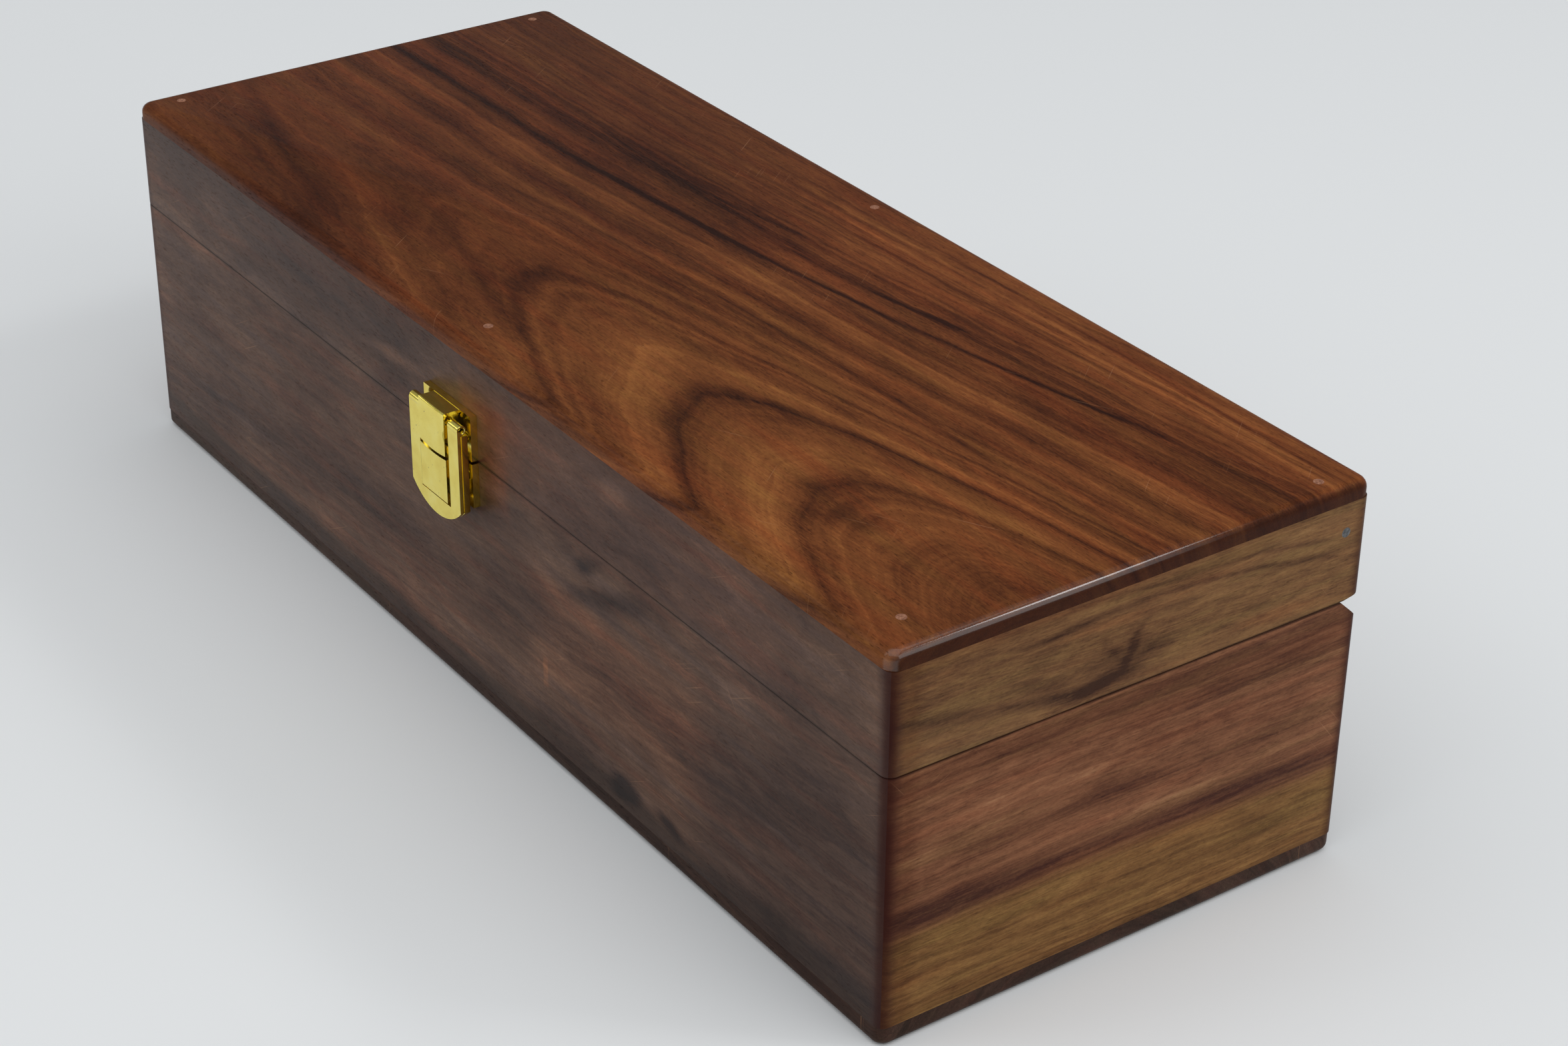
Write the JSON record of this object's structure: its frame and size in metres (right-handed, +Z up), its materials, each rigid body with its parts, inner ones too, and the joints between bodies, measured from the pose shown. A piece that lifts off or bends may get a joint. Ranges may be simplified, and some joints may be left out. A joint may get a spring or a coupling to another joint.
{
  "type": "watch box",
  "caption": "Long wooden box with a hinged lid and a brass catch, lined in velvet, with divided slots that hold watches on lift-out pillows.",
  "frame": {"origin": "centre of the bottom board's underside", "axes": "+X along the box's length, -Y out of the front with the catch, +Z up"},
  "size_m": [0.305, 0.1215, 0.0875],
  "materials": {
    "rosewood": "satin varnish over dark streaked rosewood",
    "brass": "bright plated sheet, polished",
    "steel": "dull nail head",
    "filler": "pale matt wood filler over a sunk nail",
    "velvet": "short dark pile",
    "suede": "soft napped cover over a padded roll"
  },
  "bodies": {
    "box": {"bottom_board": "rosewood", "box_front_wall": "rosewood", "box_back_wall": "rosewood", "box_left_wall": "rosewood", "box_right_wall": "rosewood", "floor_lining": "velvet", "front_lining": "velvet", "back_lining": "velvet", "left_lining": "velvet", "right_lining": "velvet", "divider_1": "velvet", "divider_2": "velvet", "divider_3": "velvet", "divider_4": "velvet", "divider_5": "velvet", "catch_hook_plate": "brass", "catch_box_screw_left": "brass", "catch_box_screw_right": "brass", "left_hinge_box_leaf": "brass", "left_hinge_box_screw_a": "brass", "left_hinge_box_screw_b": "brass", "left_hinge_pin": "brass", "right_hinge_box_leaf": "brass", "right_hinge_box_screw_a": "brass", "right_hinge_box_screw_b": "brass", "right_hinge_pin": "brass"},
    "lid": {"top_board": "rosewood", "lid_front_wall": "rosewood", "lid_back_wall": "rosewood", "lid_left_wall": "rosewood", "lid_right_wall": "rosewood", "lid_lining": "velvet", "catch_lid_plate": "brass", "catch_lid_screw_left": "brass", "catch_lid_screw_right": "brass", "lever_pin": "brass", "left_hinge_lid_leaf": "brass", "left_hinge_lid_screw_a": "brass", "left_hinge_lid_screw_b": "brass", "right_hinge_lid_leaf": "brass", "right_hinge_lid_screw_a": "brass", "right_hinge_lid_screw_b": "brass", "top_nail_front_left": "filler", "top_nail_front_middle": "filler", "top_nail_front_right": "filler", "top_nail_back_left": "filler", "top_nail_back_middle": "filler", "top_nail_back_right": "filler", "end_nail_right": "steel"},
    "lever": {"catch_lever": "brass", "catch_panel": "brass"},
    "pillow_1": {"watch_pillow_1": "suede"},
    "pillow_2": {"watch_pillow_2": "suede"},
    "pillow_3": {"watch_pillow_3": "suede"},
    "pillow_4": {"watch_pillow_4": "suede"},
    "pillow_5": {"watch_pillow_5": "suede"},
    "pillow_6": {"watch_pillow_6": "suede"}
  },
  "joints": [
    {"name": "lid_hinge", "type": "hinge", "parent": "box", "child": "lid", "pos_m": [0, 0.0556, 0.061], "axis": [-1, 0, 0], "range_deg": [0, 110]},
    {"name": "lever_hinge", "type": "hinge", "parent": "lid", "child": "lever", "pos_m": [-0.0014, -0.0619, 0.0695], "axis": [-1, 0, 0], "range_deg": [0, 135]},
    {"name": "pillow_1_lift", "type": "slide", "parent": "box", "child": "pillow_1", "axis": [0, 0, 1], "range_m": [0, 0.028]},
    {"name": "pillow_2_lift", "type": "slide", "parent": "box", "child": "pillow_2", "axis": [0, 0, 1], "range_m": [0, 0.028]},
    {"name": "pillow_3_lift", "type": "slide", "parent": "box", "child": "pillow_3", "axis": [0, 0, 1], "range_m": [0, 0.028]},
    {"name": "pillow_4_lift", "type": "slide", "parent": "box", "child": "pillow_4", "axis": [0, 0, 1], "range_m": [0, 0.028]},
    {"name": "pillow_5_lift", "type": "slide", "parent": "box", "child": "pillow_5", "axis": [0, 0, 1], "range_m": [0, 0.028]},
    {"name": "pillow_6_lift", "type": "slide", "parent": "box", "child": "pillow_6", "axis": [0, 0, 1], "range_m": [0, 0.028]}
  ]
}
